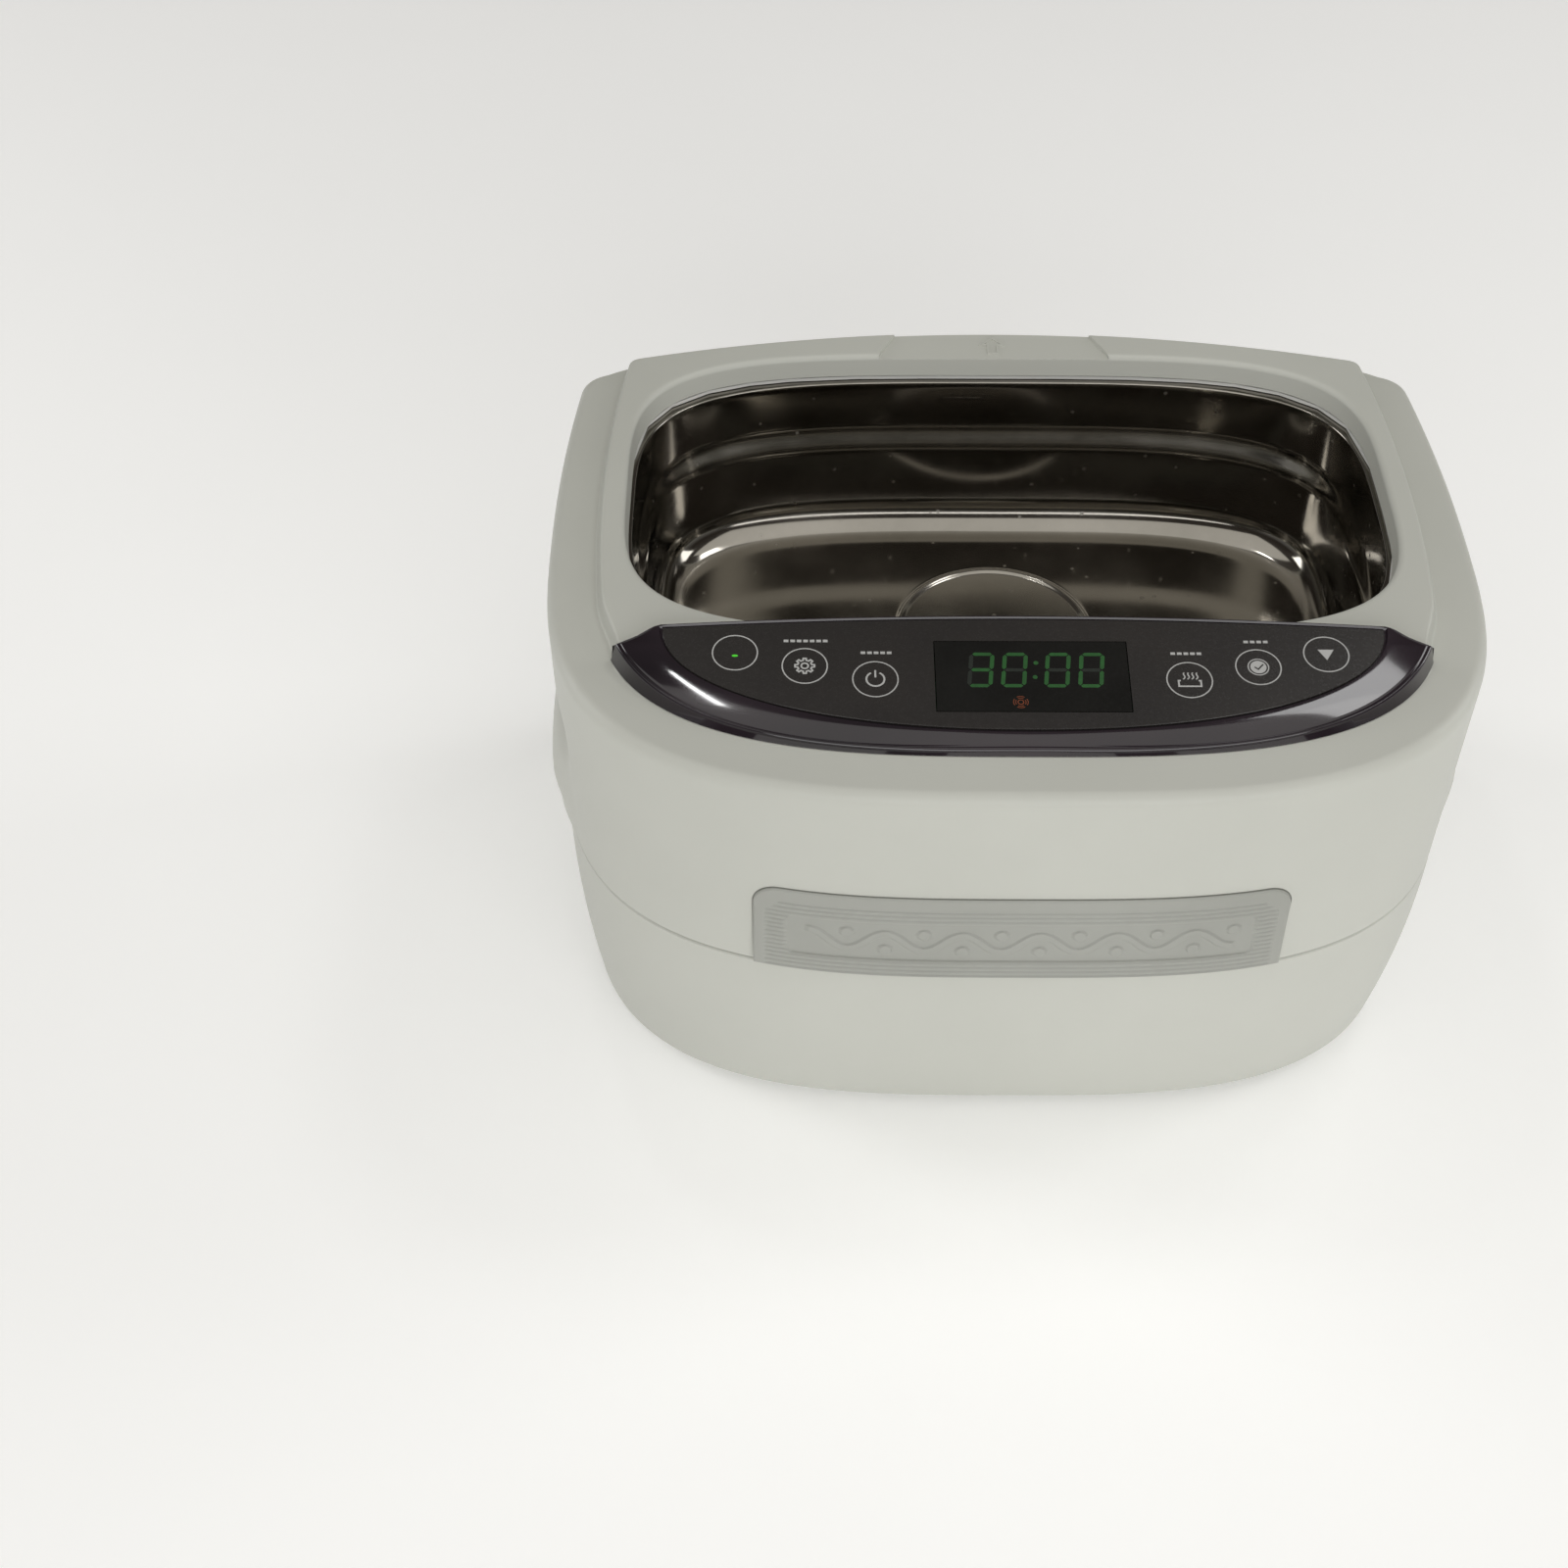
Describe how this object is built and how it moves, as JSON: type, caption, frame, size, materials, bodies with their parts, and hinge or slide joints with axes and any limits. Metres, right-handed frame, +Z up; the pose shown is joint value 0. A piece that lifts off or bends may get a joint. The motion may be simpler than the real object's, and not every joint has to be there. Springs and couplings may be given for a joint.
{
  "type": "ultrasonic cleaner",
  "caption": "Bench-top ultrasonic cleaner: rounded grey plastic body, open polished steel tank, sloping dark touch panel with digits, side hand grips.",
  "frame": {"origin": "on the surface the feet stand on, midway across the width and the depth of the whole object", "axes": "+X to the right of a user facing the panel, +Y towards the back, +Z up; the panel and name plate face -Y"},
  "size_m": [0.3044, 0.2336, 0.1695],
  "materials": {
    "housing_plastic": "fine moulded texture, satin",
    "nameplate_plastic": "satin, moulded ribs",
    "bezel_acrylic": "smoky purple-black gloss",
    "overlay_film": null,
    "window_lens": "dark lens over green digits",
    "display_led": "black block with green segments",
    "stainless_steel": "deep-drawn and polished",
    "silicone": "soft white silicone",
    "aluminium": "machined",
    "plated_steel": "zinc plated",
    "piezo_ceramic": null,
    "brass": "thin sheet",
    "circuit_board": "green solder mask",
    "heater_mat": "orange-red silicone mat",
    "black_plastic": "moulded black",
    "capacitor_sleeve": "shrink sleeve",
    "rubber": "matte",
    "fuse_glass": "clear tube",
    "wire_insulation": "soft PVC",
    "ribbon_cable": "flat grey cable"
  },
  "bodies": {
    "base_unit": {"board_fuse": "fuse_glass", "capacitor_1": "capacitor_sleeve", "capacitor_2": "capacitor_sleeve", "case_screw_back_left": "plated_steel", "case_screw_back_right": "plated_steel", "case_screw_front_left": "plated_steel", "case_screw_front_right": "plated_steel", "control_board": "circuit_board", "display_module": "display_led", "display_window": "window_lens", "earth_lead": "wire_insulation", "electrode_lower": "brass", "electrode_upper": "brass", "fan_frame": "black_plastic", "fan_screw_1": "plated_steel", "fan_screw_2": "plated_steel", "fan_screw_3": "plated_steel", "fan_screw_4": "plated_steel", "foot_back_left": "rubber", "foot_back_right": "rubber", "foot_front_left": "rubber", "foot_front_right": "rubber", "heater_mat_left": "heater_mat", "heater_mat_right": "heater_mat", "heatsink": "aluminium", "inlet_pin_earth": "plated_steel", "inlet_pin_line": "plated_steel", "inlet_pin_neutral": "plated_steel", "inlet_socket": "black_plastic", "line_lead": "wire_insulation", "lower_housing": "housing_plastic", "main_board": "circuit_board", "nameplate": "nameplate_plastic", "neutral_lead": "wire_insulation", "panel_bezel": "bezel_acrylic", "piezo_ring_lower": "piezo_ceramic", "piezo_ring_upper": "piezo_ceramic", "power_transistor_left": "black_plastic", "power_transistor_right": "black_plastic", "relay": "black_plastic", "ribbon_cable": "ribbon_cable", "tank": "stainless_steel", "tank_gasket": "silicone", "thermal_cutout": "black_plastic", "touch_overlay": "overlay_film", "touch_spring_left_1": "plated_steel", "touch_spring_left_2": "plated_steel", "touch_spring_left_3": "plated_steel", "touch_spring_right_1": "plated_steel", "touch_spring_right_2": "plated_steel", "touch_spring_right_3": "plated_steel", "transducer_back_mass": "plated_steel", "transducer_bolt": "plated_steel", "transducer_horn": "aluminium", "transducer_lead": "wire_insulation", "transformer": "black_plastic", "upper_housing": "housing_plastic"},
    "fan_rotor": {"fan_rotor": "black_plastic"}
  },
  "joints": [
    {"name": "fan_spin", "type": "hinge", "parent": "base_unit", "child": "fan_rotor", "pos_m": [-0.078, 0.008, 0.015], "axis": [0, 0, 1], "continuous": true}
  ]
}
